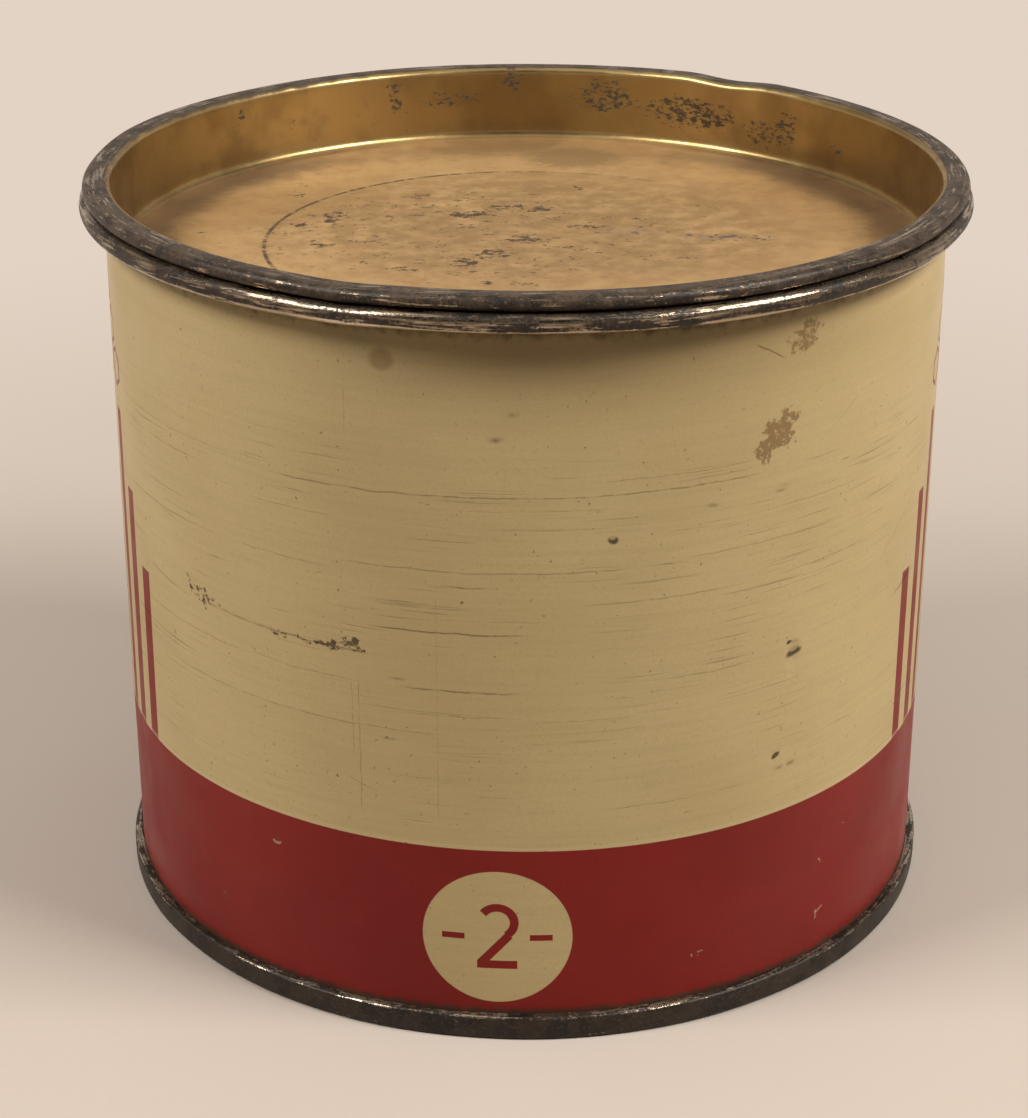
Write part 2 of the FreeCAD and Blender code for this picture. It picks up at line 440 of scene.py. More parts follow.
def mark_group(kind):
    """The shared group behind one kind of mark. It has no Mapping node and splits no vector,
    because each of those would take up some of the renderer's small store."""
    if kind in bpy.data.node_groups:
        return bpy.data.node_groups[kind]
    count = {"cell": 2, "oval": 5, "bar": 7}[kind]
    labels = ("Point", "Middle", "Along", "Across", "Strength", "Size", "Soft")[:count]
    group = bpy.data.node_groups.new(kind, "ShaderNodeTree")
    for label in labels:
        sort = "NodeSocketFloat" if label == "Strength" else "NodeSocketVector"
        group.interface.new_socket(label, in_out="INPUT", socket_type=sort)
    group.interface.new_socket("Share", in_out="OUTPUT", socket_type="NodeSocketFloat")
    n = Nodes(group)
    into = n.add("NodeGroupInput").outputs
    local = n.vector("SUBTRACT", into["Point"], into["Middle"])
    if kind == "cell":
        folded = n.vector("ABSOLUTE", local)
        slope = n.vector("DOT_PRODUCT", folded, (0.5, math.sqrt(0.75), 0.0))
        straight = n.vector("DOT_PRODUCT", folded, (1.0, 0.0, 0.0))
        reach = n.math("MAXIMUM", slope, straight)
        share = n.times(n.below(reach, CELL_REACH), n.above(reach, CELL_REACH - CELL_LINE))
    else:
        local = n.combine(n.vector("DOT_PRODUCT", local, into["Along"]),
                          n.vector("DOT_PRODUCT", local, into["Across"]), 0.0)
        if kind == "oval":
            share = n.less(1.0, n.vector("LENGTH", local))
            share = n.math("MULTIPLY", share, 1 / OVAL_SOFT, clamp=True)
        else:
            past = n.vector("SUBTRACT", n.vector("ABSOLUTE", local), into["Size"])
            past = n.vector("DIVIDE", n.vector("MAXIMUM", past, (0.0, 0.0, 0.0)), into["Soft"])
            share = n.math("SUBTRACT", 1.0, n.vector("LENGTH", past), clamp=True)
        share = n.math("MULTIPLY", share, into["Strength"])
    n.feed(n.add("NodeGroupOutput").inputs[0], share)
    return group


def shader(name, settings):
    """A material with a Principled shader: its node helper and the shader's inputs."""
    material = bpy.data.materials.new(name)
    material.use_nodes = True
    n = Nodes(material.node_tree)
    surface = material.node_tree.nodes["Principled BSDF"].inputs
    n.fill(surface, settings)
    return material, n, surface


def bumped(n, surface, height, depth):
    """Relief from a height of 0 to 1, with its depth in mm."""
    node = n.add("ShaderNodeBump")
    n.fill(node.inputs, {"Strength": 1.0, "Distance": depth * MM, "Height": height})
    n.feed(surface["Normal"], node.outputs[0])


# ---- the printed wall

R = WALL
MARK_SPREAD = 1.5  # ragged marks are drawn this much larger, then eaten away
# Level scratches and specks: z as a share of R, half width in mm, and the stretches that show,
# each from one azimuth to another with a strength. They climb slightly to the right.
ROWS = [
    (1.525, 0.35, [(-2.1, -1.3, 0.8)]), (1.47, 0.33, [(-4.2, -3.4, 1.0)]),
    (1.37, 0.08, [(8, 30, 0.5)]), (1.354, 0.08, [(-70, -40, 0.35), (18, 29, 0.5)]),
    (1.338, 0.1, [(-66, -54, 0.5), (-34, 30, 0.75), (37, 44, 0.5)]),
    (1.308, 0.09, [(-60, -47, 0.5), (-34, -27, 0.5), (0, 10, 0.5), (44.6, 45.4, 0.9)]),
    (1.285, 0.25, [(23.1, 23.9, 0.8), (33.1, 33.9, 0.7)]),
    (1.265, 0.08, [(-38, -24, 0.5), (-5, 10, 0.5)]), (1.24, 0.08, [(18, 23, 0.5)]),
    (1.174, 0.08, [(5, 13, 0.4), (20.5, 45, 0.5)]),
    (1.165, 0.1, [(-51, -48, 0.5), (-24, 13.5, 0.6), (14, 20, 1.0)]),
    (1.145, 0.09, [(-68, -44, 0.5), (-40, -26, 0.5)]),
    (1.13, 0.1, [(-11, -4, 0.95), (11, 22, 0.55)]),
    (1.086, 0.09, [(-47, -42, 0.5), (-19, -12, 0.6), (7, 27, 0.55), (34, 50, 0.5)]),
    (1.03, 0.08, [(-50, -45, 0.45), (25, 32, 0.5)]),
    (1.02, 0.11, [(-20, 0, 0.95), (8, 15, 0.55)]), (1.01, 0.08, [(-36, -30, 0.5)]),
    (0.9, 0.18, [(-17.2, -15.8, 0.8)]), (0.89, 0.09, [(17, 30, 0.55)]),
    (0.88, 0.1, [(-63, -39, 0.45), (-34, -22, 0.4), (-16, -1, 0.95)]),
    (0.82, 0.09, [(-16, -1, 0.55)]), (0.81, 0.08, [(0, 15, 0.35)]), (0.78, 0.08, [(0, 15, 0.35)]),
    (0.773, 0.09, [(-55, -10, 0.55)]), (0.756, 0.08, [(-58, -46, 0.45), (0, 3, 0.4)]),
    (0.748, 0.18, [(-18.3, -17.1, 0.9)]), (0.598, 0.3, [(34.8, 35.7, 0.9), (36.6, 37.5, 1.0)]),
    (0.585, 0.09, [(-38, -33, 0.45), (10, 22, 0.55), (26, 29, 0.5)]), (0.55, 0.08, [(-17, -11, 0.5)]),
    (1.052, 0.07, [(-62, -55, 0.4), (-12, 3, 0.35), (30, 44, 0.4)]),
]
# Upright and slanted scratches: azimuths and z shares of both ends, strength, half width in mm.
SLANTS = [
    (-22.7, -22.7, 1.55, 1.47, 0.45, 0.1), (-22.7, -22.6, 0.86, 0.71, 0.55, 0.1),
    (-21.7, -21.7, 0.86, 0.57, 0.6, 0.1), (-11.3, -11.3, 1.09, 0.55, 0.3, 0.09),
    (-23, -20, 0.63, 0.61, 0.6, 0.1), (41, 46.5, 1.39, 1.45, 0.4, 0.08),
    (56, 65, 1.03, 1.12, 0.45, 0.09), (29.5, 32.3, 1.63, 1.603, 1, 0.14),
    (60.5, 66, 0.898, 0.918, 1, 0.15), (-60, -52, 0.965, 0.95, 0.5, 0.16),
    (-45, -22, 0.955, 0.948, 0.6, 0.22),
]
# Scuffs: azimuth, z share, half width, half height in mm, turn, strength.
SCUFFS = [
    (-48, 0.972, 1.6, 0.9, -35, 0.75), (-46, 0.957, 2.2, 0.7, 25, 0.6), (-50, 0.985, 1.3, 0.5, -50, 0.7),
    (-22.5, 0.962, 1.5, 1.3, 10, 1), (-25, 0.95, 1.8, 0.9, 0, 0.85), (-28.5, 0.952, 2.2, 0.6, 0, 0.6),
    (-33, 0.948, 2.6, 0.45, 0, 0.5),
]
# Rust-brown stains: azimuth, z share, half width, half height in mm, turn, strength.
STAINS = [
    (31.6, 1.41, 1.2, 1.9, -25, 1), (33.2, 1.435, 1.3, 1.4, -30, 0.9), (34.2, 1.465, 1, 0.9, 0, 0.75),
    (30.8, 1.385, 0.9, 1.2, 0, 0.8), (36.6, 1.635, 1.5, 1.3, 20, 0.8), (35.6, 1.625, 1.2, 0.8, 0, 0.6),
    (33.0, 1.405, 1.9, 1.1, 10, 0.5),
]

# Painted shade with chipped lacquer in the dings, and chipped lacquer at a few specks: azimuth, z, half
# width, half height in mm, turn.
DING_SHADE_AND_POCKS = [
    (10.5, 65.3, 0.75, 0.6, 0), (36.9, 46.7, 1.5, 0.65, 10), (36.0, 48.2, 0.5, 0.35, 0),
    (34.5, 33.6, 0.8, 0.45, 25),
]
# Painted highlights in the upper half of the dings, in the same form without a turn.
DING_HIGHLIGHTS = [(10.45, 65.55, 0.45, 0.3), (36.8, 47.1, 0.85, 0.4)]


def wall_marks(n, face, listed, spread=1.0, unit=R):
    """Marks listed by azimuth, z in units, half sizes in mm and, if need be, turn and strength."""
    return n.most(n.mark(face, (arc_of(azimuth), level * unit), (wide * spread, high * spread), *rest)
                  for azimuth, level, wide, high, *rest in listed)


ROW_CLIMB = 0.008  # of the level lines to the right, per mm
ROW_SHARPNESS = 0.75  # below 1, a line fades out past its listed half width
SPAN = 160  # degrees of azimuth that a curve node covers, about the front
FADE = 0.02  # longest fade at a stretch's ends, as a share of the span
FADE_PAST = 0.004


def tracks(n, azimuth, level):
    """The rows of level lines, three to a curve node, whose channels hold the shown stretches."""
    found = 0.0
    place = n.math("MULTIPLY_ADD", azimuth, 1 / SPAN, 0.5)
    for first in range(0, len(ROWS), 3):
        three = ROWS[first:first + 3]
        curve = n.add("ShaderNodeRGBCurve")
        for channel, (_, _, stretches) in zip(curve.mapping.curves, three):
            channel.points[1].location = (1.0, 0.0)
            for start, end, strength in stretches:
                low, high = start / SPAN + 0.5, end / SPAN + 0.5
                fade = 0.9 * min(FADE, (high - low) / 2)
                for x, y in ((low - FADE_PAST, 0.0), (low + fade, strength),
                             (high - fade, strength), (high + FADE_PAST, 0.0)):
                    channel.points.new(x, y).handle_type = "VECTOR"
        curve.mapping.update()
        n.feed(curve.inputs["Color"], place)
        off = n.vector("ABSOLUTE", n.vector("SUBTRACT", level, tuple(row[0] * R for row in three)))
        slopes = tuple(-ROW_SHARPNESS / row[1] for row in three)
        share = n.vector("MULTIPLY_ADD", off, slopes, (1.0, 1.0, 1.0))
        share = n.vector("MAXIMUM", share, (0.0, 0.0, 0.0))
        found = n.math("ADD", found, n.vector("DOT_PRODUCT", share, curve.outputs[0]))
    return found


def slant(n, face, start, end, low, high, strength, width):
    """One upright or slanted scratch, with long soft ends."""
    run = Vector((arc_of(end) - arc_of(start), (high - low) * R))
    middle = (arc_of((start + end) / 2), (low + high) / 2 * R)
    angle = math.degrees(math.atan2(run.y, run.x))
    return n.mark(face, middle, (run.length / 2, 0.0), angle, strength, (9 * width, width))


BARS = 7
BAR_FIRST = 59.0  # arc from the front to the first bar at each side
BAR_PITCH = 5.0
BAR_HALF = 1.25
BAR_TALLEST = 2  # counted from 0
BAR_TOP = 67.0  # of the tallest bar
BAR_STEP = 9.0


def side_bars(n, side_arc, z):
    """Seven plain bars that stand on the foot band at each side, stepped like organ pipes."""
    from_first = n.less(side_arc, BAR_FIRST)
    number = n.math("ROUND", n.math("DIVIDE", from_first, BAR_PITCH))
    number = n.math("MINIMUM", n.math("MAXIMUM", number, 0.0), BARS - 1)
    off = n.absolute(n.less(from_first, n.math("MULTIPLY", number, BAR_PITCH)))
    short = n.times(n.absolute(n.less(number, BAR_TALLEST)), BAR_STEP)
    over = n.less(n.math("ADD", z, short), BAR_TOP)
    return n.times(n.below(off, BAR_HALF), n.below(over, 0.0))


# Honeycomb at each side: the first cell's azimuth and z, the pitch, and each cell's column and row.
CELL_FIRST = (75, 72.5)
CELL_PITCH = (5.4, 4.68)
CELLS = [(0, 0), (1, 0), (0.5, 1), (1.5, 1), (1, 2), (2, 0)]

BADGE = (-3.8, 13.8)  # azimuth and z of its middle
BADGE_RADIUS = 9.05
NUMERAL = 8.6  # height of the 2 in the badge
RULE_OFF = 5.3  # the short rules beside it: middle of each, half length, half width
RULE_HALF = (1.35, 0.38)


def numeral_two(n, face, middle, size):
    """A plain 2 of three strokes: the bowl, the slant and the foot. size is its height."""
    across, along = middle
    stroke = 0.062 * size
    bowl_radius = 0.24 * size
    top = (across, along + bowl_radius)
    bowl = n.absolute(n.less(n.away(face, top), bowl_radius))
    # The bowl is a ring without its lower left part.
    side = n.vector("DOT_PRODUCT", n.vector("SUBTRACT", face, (*top, 0.0)), (0.7, 0.7, 0.0))
    bowl = n.times(n.below(bowl, stroke, 0.04), n.rise(side, -0.05 * size, -0.03 * size))
    slanted = n.mark(face, (across - 0.03 * size, along - 0.19 * size), (0.30 * size, stroke),
                     49, 1.0, PRINT_EDGE)
    foot = n.mark(face, (across, along - 0.44 * size), (0.28 * size, stroke), 0, 1.0, PRINT_EDGE)
    return n.most([bowl, slanted, foot])


CREAMS = (0.555, 0.412, 0.200), (0.60, 0.452, 0.226)
CREAM_STREAKS = (0.39, 0.28, 0.13)
CREAM_GRAIN = (0.35, 0.25, 0.125)
SCRATCH_BROWN = (0.105, 0.060, 0.024)
SCUFF_BROWN = (0.075, 0.046, 0.025)
SPECK_BROWN = (0.12, 0.072, 0.032)
STAIN_BROWN = (0.215, 0.115, 0.045)
# painted shade in the dings, and chipped lacquer
DING_SHADE_AND_POCK_BROWN = (0.045, 0.030, 0.017)
# painted highlights in the dings
DING_HIGHLIGHT_CREAM = (0.50, 0.37, 0.19)
DRIP_BROWN = (0.19, 0.10, 0.04)
# painted shade below the curl, with browned lacquer
SHADE_AND_AGED_LACQUER = (0.20, 0.125, 0.048)
# painted shade under the curl, and grime
SHADE_AND_GRIME = (0.05, 0.032, 0.018)
PALE_LINE = (0.68, 0.53, 0.31)
REDS = (0.195, 0.008, 0.006), (0.24, 0.011, 0.008)
RED_GRAIN = (0.13, 0.008, 0.006)
RED_SCRATCH = (0.10, 0.02, 0.012)
RED_CHIP = (0.42, 0.30, 0.19)
SEAM_METALS = (0.30, 0.27, 0.225), (0.17, 0.145, 0.115)
SEAM_RUST = (0.10, 0.058, 0.03)
# Chips in the red band: azimuth, z share, half width, half height in mm, turn.
FLECKS = [(23, 0.17, 0.55, 0.4, 30), (-35.5, 0.408, 0.45, 0.3, 0), (43.5, 0.155, 1.2, 0.25, 60),
          (44, 0.31, 0.3, 0.3, 0)]
DRIP = (-17.7, 1.632)  # a dried drip under the curl: azimuth and z share
BARE_HALF = 4.7  # bare tin to each side of the side seam's middle


def printed_wall():
    material, n, surface = shader("printed wall", {"IOR": 1.5, "Specular IOR Level": 0.25})
    point = n.point_mm()
    x, y, z = n.separate(point)
    arc = n.times(n.math("ARCTAN2", x, n.times(y, -1.0)), WALL)
    face = n.combine(arc, z, 0.0)
    # The same face with its lines slightly unsteady, for marks with ragged edges.
    unsteady = n.less(n.noise(point, 0.35, 3), 0.5)
    wobble = n.combine(n.less(n.noise(point, 0.9, 3), 0.5), unsteady, 0.0)
    shaky = n.vector("ADD", face, n.vector("MULTIPLY", wobble, (0.35, 0.5, 0.0)))
    ragged = n.vector("ADD", face, n.vector("MULTIPLY", wobble, (4.5, 4.0, 0.0)))

    clouds = n.noise(point, 0.045, 3)
    grain = n.noise(point, 2.6, 2)
    streaks = n.noise(point, (0.05, 0.05, 1.3), 3, 0.6)
    cream = n.tones(clouds, *CREAMS)
    cream = n.mix(n.rise(streaks, 0.35, 0.75, 0.16), cream, CREAM_STREAKS)
    cream = n.mix(n.rise(grain, 0.4, 0.75, 0.14), cream, CREAM_GRAIN)

    # Fine scratches all over, in patches.
    fine = n.noise(point, (0.055, 0.055, 5.5), 2, 0.65)
    patches = n.rise(n.noise(point, (0.06, 0.06, 0.12), 2), 0.44, 0.62)
    clear_of_ends = n.times(n.rise(z, 24, 34), n.rise(z, 80, 70))
    fine = n.times(n.rise(fine, 0.62, 0.69), patches, clear_of_ends, 0.6)
    shaky_z = n.sum(n.math("MULTIPLY_ADD", arc, -ROW_CLIMB, z), n.times(unsteady, 0.5))
    listed = tracks(n, n.times(arc, math.degrees(1) / WALL), shaky_z)
    listed = n.most(itertools.chain([listed], (slant(n, shaky, *row) for row in SLANTS)))
    broken = n.rise(n.noise(point, 0.42, 3, 0.7), 0.36, 0.56)
    scratches = n.most([fine, n.times(listed, n.blend(broken, 0.35, 1.0))])
    scuffs = wall_marks(n, ragged, SCUFFS)
    stains = wall_marks(n, ragged, STAINS, MARK_SPREAD)

    colour = n.mix(n.times(scratches, 0.85), cream, SCRATCH_BROWN)
    # Scuffs and stains break up into dots, which also show alone as specks.
    dots = n.noise(point, 1.5, 4, 0.72)
    scuffs = n.times(n.rise(n.sum(dots, n.times(scuffs, 0.15)), 0.57, 0.66), n.rise(scuffs, 0.0, 0.25))
    colour = n.mix(n.times(scuffs, 0.9), colour, SCUFF_BROWN)
    colour = n.mix(n.rise(dots, 0.655, 0.705, 0.85), colour, SPECK_BROWN)
    stains = n.times(n.rise(n.sum(dots, n.times(stains, 0.2)), 0.52, 0.68), n.rise(stains, 0.0, 0.3))
    colour = n.mix(n.times(stains, 0.75), colour, STAIN_BROWN)
    # Painted shade in the dings, with chipped lacquer there and at a few specks.
    ding_shade_and_pocks = wall_marks(n, shaky, DING_SHADE_AND_POCKS, unit=1)
    colour = n.mix(n.times(ding_shade_and_pocks, 0.9), colour, DING_SHADE_AND_POCK_BROWN)
    # Painted highlights in the upper half of the dings.
    ding_highlights = wall_marks(n, face, DING_HIGHLIGHTS, unit=1)
    colour = n.mix(n.times(ding_highlights, 0.8), colour, DING_HIGHLIGHT_CREAM)
    drip = n.mark(shaky, (arc_of(DRIP[0]), DRIP[1] * R), (1.8, 1.6))
    colour = n.mix(n.times(drip, 0.5), colour, DRIP_BROWN)

    # Red print: the foot band, the bars and the honeycomb at the sides.
    side_arc = n.absolute(arc)
    side_face = n.combine(side_arc, z, 0.0)
    bars = side_bars(n, side_arc, z)
    first_arc, first_z = arc_of(CELL_FIRST[0]), CELL_FIRST[1]
    cells = n.most(n.cell(side_face, (first_arc + column * CELL_PITCH[0], first_z + row * CELL_PITCH[1]))
                   for column, row in CELLS)
    band = n.below(z, BAND_TOP)
    across, along = arc_of(BADGE[0]), BADGE[1]
    badge = n.below(n.away(face, (across, along)), BADGE_RADIUS)
    numeral = numeral_two(n, face, (across, along), NUMERAL)
    rules = n.most(n.mark(face, (across + side * RULE_OFF, along), RULE_HALF, 0, 1.0, PRINT_EDGE)
                   for side in (-1, 1))
    red = n.most([band, bars, cells])
    red = n.math("SUBTRACT", red, badge, clamp=True)
    red = n.most([red, numeral, rules])
    rub = n.noise(point, (0.5, 0.5, 0.9), 4, 0.65)
    chips = n.most([n.rise(rub, 0.72, 0.77), wall_marks(n, ragged, FLECKS)])
    deep = n.tones(clouds, *REDS)
    deep = n.mix(n.rise(grain, 0.45, 0.8, 0.3), deep, RED_GRAIN)
    deep = n.mix(n.times(scratches, 0.5), deep, RED_SCRATCH)
    deep = n.mix(n.times(chips, 0.85), deep, RED_CHIP)
    colour = n.mix(red, colour, deep)
    # A pale line runs along the top of the red band.
    line = n.times(n.rise(z, BAND_TOP + 0.02, BAND_TOP + 0.1), n.rise(z, BAND_TOP + 0.62, BAND_TOP + 0.4))
    colour = n.mix(n.times(line, 0.35), colour, PALE_LINE)

    # Painted shade with grime right under the curl, and grime above the double seam.
    under = n.rise(n.sum(z, n.times(n.noise(point, 0.8, 3), 2.4)), CURL_FOOT - 0.6, CURL_FOOT + 1.1)
    foot = n.less(z, n.times(n.noise(point, 1.1, 3), 1.6))
    foot = n.rise(foot, SEAM_TOP + 0.15, SEAM_TOP - 0.6)
    shade_and_grime = n.most([n.times(under, 0.8), n.times(foot, 0.85)])
    # Painted shade below the curl, most of all in front, where the lacquer has also browned.
    in_front = n.rise(n.absolute(n.less(arc, 8.0)), 46, 8)
    shade_and_browning = n.times(n.rise(z, 77, CURL_FOOT), in_front)
    colour = n.mix(n.times(shade_and_browning, 0.55), colour, SHADE_AND_AGED_LACQUER)
    colour = n.mix(shade_and_grime, colour, SHADE_AND_GRIME)

    # Bare tin beside the lock of the side seam.
    from_seam = n.less(math.pi * WALL, n.absolute(arc))
    edge = n.sum(from_seam, n.times(n.noise(point, 1.2, 2), 0.25))
    bare = n.below(edge, BARE_HALF)
    tin = n.mix(n.rise(n.noise(point, (1.4, 1.4, 0.12), 4, 0.6), 0.35, 0.65), *SEAM_METALS)
    tin = n.mix(n.rise(n.noise(point, 0.7, 4, 0.7), 0.56, 0.66), tin, SEAM_RUST)
    colour = n.mix(bare, colour, tin)
    n.feed(surface["Base Color"], colour)
    n.feed(surface["Metallic"], n.times(bare, 0.85))

    gloss = n.blend(n.rise(n.noise(point, 0.12, 3), 0.3, 0.7), 0.34, 0.46)
    gloss = n.blend(n.most([scratches, stains, scuffs, shade_and_grime]), gloss, 0.72)
    n.feed(surface["Roughness"], gloss)
    relief = n.sum(n.times(n.noise(point, 0.8, 2), 0.35), n.times(grain, 0.12))
    relief = n.less(relief, n.times(fine, 0.5))
    bumped(n, surface, relief, 0.04)
    return material


# ---- bare and oxidised tin

def streaky(n, x, y, z, fine=2.8, long=0.15):
    """A point for noise that is drawn out round the axis, with no join at the back.

    fine is its frequency across the streaks and long the one along them."""
    radius = n.radius_of(x, y)
    return n.combine(
        n.sum(n.times(radius, fine), n.times(x, long)),
        n.sum(n.times(z, fine), n.times(y, long)),
        n.times(n.less(x, y), long))


TIN_DARKEST = (0.016, 0.010, 0.006)
TIN_BROWN = (0.070, 0.043, 0.026)
TIN_SPECK = (0.150, 0.105, 0.070)
TIN_PIT = (0.007, 0.005, 0.004)
TIN_RUBBED = (0.14, 0.10, 0.066)
TIN_EDGE = (0.68, 0.57, 0.45)
TIN_LINES = (0.42, 0.33, 0.23)


def oxidised_tin(name, bands, amount, tone):
    """Old tinplate that has gone dark brown, rubbed bright in ragged patches.

    bands are (z low, z high, more rubbing, paler metal), and tone lightens the brown."""
    material, n, surface = shader(name, {"IOR": 1.5, "Specular IOR Level": 0.3})
    point = n.point_mm()
    x, y, z = n.separate(point)
    along = streaky(n, x, y, z)
    patches = n.noise(point, 0.16, 3, 0.6)
    lines = n.noise(along, 1.0, 4, 0.62)
    pits = n.noise(point, 2.4, 4, 0.7)
    where = amount
    edge = 0.0
    for low, high, share, paler in bands:
        wide = (high - low) / 3
        here = n.times(n.rise(z, low, low + wide), n.rise(z, high, high - wide))
        where = n.sum(where, n.times(here, share))
        edge = n.math("MAXIMUM", edge, n.times(here, paler))
    rubbed = n.sum(n.times(lines, 0.42), n.sum(n.times(patches, 0.33), n.times(pits, 0.25)))
    bright = n.rise(n.sum(rubbed, where), 0.475, 0.53)
    darkest, brown, speck = (tuple(tone * part for part in colour)
                             for colour in (TIN_DARKEST, TIN_BROWN, TIN_SPECK))
    dark = n.mix(n.rise(n.noise(point, 0.35, 4, 0.6), 0.35, 0.65), darkest, brown)
    dark = n.mix(n.rise(pits, 0.54, 0.66, 0.7), dark, speck)
    dark = n.mix(n.rise(pits, 0.44, 0.34, 0.9), dark, TIN_PIT)
    metal = n.mix(edge, TIN_RUBBED, TIN_EDGE)
    metal = n.mix(n.rise(lines, 0.50, 0.68), metal, TIN_LINES)
    n.feed(surface["Base Color"], n.mix(bright, dark, metal))
    n.feed(surface["Metallic"], bright)
    n.feed(surface["Roughness"], n.blend(bright, n.blend(pits, 0.32, 0.6), n.blend(lines, 0.10, 0.25)))
    bumped(n, surface, n.sum(n.times(pits, 0.7), n.times(lines, 0.3)), 0.05)
    return material


DULL_TINS = (0.34, 0.31, 0.265), (0.47, 0.435, 0.38)
DULL_CLOUD = (0.19, 0.155, 0.115)
DULL_RING = (0.13, 0.10, 0.07)
DULL_RUST = (0.115, 0.052, 0.022)


def hidden_tin():
    """The inner faces and the underside: dull bare tinplate with spots of rust."""
    material, n, surface = shader("dull tinplate", {"IOR": 1.5})
    point = n.point_mm()
    along = streaky(n, *n.separate(point), 1.6, 0.05)
    brushed = n.noise(n.vector("MULTIPLY", point, (1.0, 0.06, 1.0)), 1.8, 3, 0.6)
    clouds = n.noise(point, 0.09, 4, 0.6)
    spots = n.noise(point, 0.45, 5, 0.72)
    colour = n.tones(brushed, *DULL_TINS)
    colour = n.mix(n.rise(clouds, 0.42, 0.68, 0.75), colour, DULL_CLOUD)
    rings = n.rise(n.noise(along, 0.8, 3), 0.5, 0.72, 0.5)
    colour = n.mix(rings, colour, DULL_RING)
    rust = n.rise(spots, 0.60, 0.68)
    colour = n.mix(n.times(rust, 0.85), colour, DULL_RUST)
    n.feed(surface["Base Color"], colour)
    n.feed(surface["Metallic"], n.blend(rust, 0.85, 0.1))
    n.feed(surface["Roughness"], n.blend(rust, n.blend(brushed, 0.3, 0.5), 0.8))
    bumped(n, surface, n.sum(n.times(brushed, 0.3), n.times(spots, 0.7)), 0.05)
    return material


# ---- the gold lid

# Marks on the panel: x, y as shares of R, half sizes in mm, turn, strength.
PANEL_SPOTS = [
    (-0.15, 0.22, 1.9, 1.3, 20, 1), (-0.14, -0.18, 1.4, 1.2, 0, 1), (-0.07, -0.11, 1.6, 1.5, 30, 0.9),
    (0, 0.02, 1.7, 1.3, 0, 0.8), (-0.05, 0.29, 2.6, 1.4, 0, 0.8), (0.04, 0.27, 2.0, 1.1, 0, 0.8),
    (-0.47, 0.2, 1.2, 2.6, 10, 0.9), (-0.42, -0.01, 1.2, 0.6, 10, 0.9), (-0.5, -0.04, 1.2, 0.6, 0, 0.9),
    (-0.37, 0.03, 1.1, 0.6, 20, 0.9), (-0.33, 0.2, 1.3, 0.7, 0, 0.8), (-0.55, 0.13, 0.9, 0.8, 0, 0.9),
    (-0.28, -0.23, 1, 0.7, 0, 0.8), (-0.09, -0.33, 0.9, 0.7, 0, 0.8), (0, -0.34, 1.3, 0.6, 0, 0.8),
    (0.38, -0.14, 0.8, 0.6, 0, 0.9), (0.3, -0.14, 0.7, 0.6, 0, 0.8), (0.28, 0.19, 1, 0.7, 0, 0.8),
    (0.14, 0.47, 1, 0.7, 0, 0.8), (-0.78, 0.05, 0.8, 0.7, 0, 0.8), (-0.58, 0.4, 0.8, 1, 0, 0.7),
    (-0.57, 0.5, 0.8, 0.9, 0, 0.7), (0.45, 0.3, 0.8, 0.6, 0, 0.6), (-0.25, 0.4, 1.1, 0.8, 0, 0.6),
    (0.08, -0.05, 1.2, 0.8, 0, 0.6), (0.16, 0.12, 1.2, 0.7, 0, 0.6),
]
# Dull bluish smudges, in the same form.
SMUDGES = [(0.25, 0.08, 2.6, 1.6, 0, 0.7), (0.45, 0.03, 3.2, 1.2, 0, 0.8), (0.57, 0.03, 1.8, 1, 0, 0.6)]
# Rust on the plug wall: azimuth from +Y, z share, half width in degrees, half height share, strength.
PLUG_RUST = [
    (-49, 1.74, 0.5, 0.016, 0.8), (-21, 1.73, 0.8, 0.036, 0.9), (-11.5, 1.715, 4.2, 0.018, 0.8),
    (-2, 1.77, 1.3, 0.032, 0.9), (13, 1.72, 3.8, 0.034, 1), (27.5, 1.697, 6.6, 0.034, 1),
    (41.5, 1.67, 4.0, 0.03, 0.7), (45, 1.71, 1.4, 0.024, 0.9), (55.5, 1.68, 0.8, 0.018, 0.8),
]


TANS = (0.385, 0.228, 0.093), (0.47, 0.296, 0.130)
TAN_MOTTLE = (0.36, 0.20, 0.078)
# painted shade round the panel, with darkened lacquer
TAN_RIM_SHADE_AND_AGED = (0.20, 0.115, 0.052)
# painted reflection of the plug wall
TAN_WALL_REFLECTION = (0.125, 0.076, 0.046)
TAN_MIDDLE = (0.24, 0.14, 0.058)
TAN_SHADE = (0.20, 0.125, 0.06)
# painted shade in the corner at the foot of the plug wall, with dirt
TAN_CORNER_SHADE_AND_DIRT = (0.30, 0.18, 0.075)
GOLDS = (0.36, 0.248, 0.102), (0.43, 0.306, 0.132)
GOLD_MOTTLE = (0.25, 0.16, 0.065)
GOLD_AGED = (0.17, 0.105, 0.045)
LID_RUST = (0.050, 0.035, 0.024)
SMUDGE_GREY = (0.20, 0.165, 0.14)


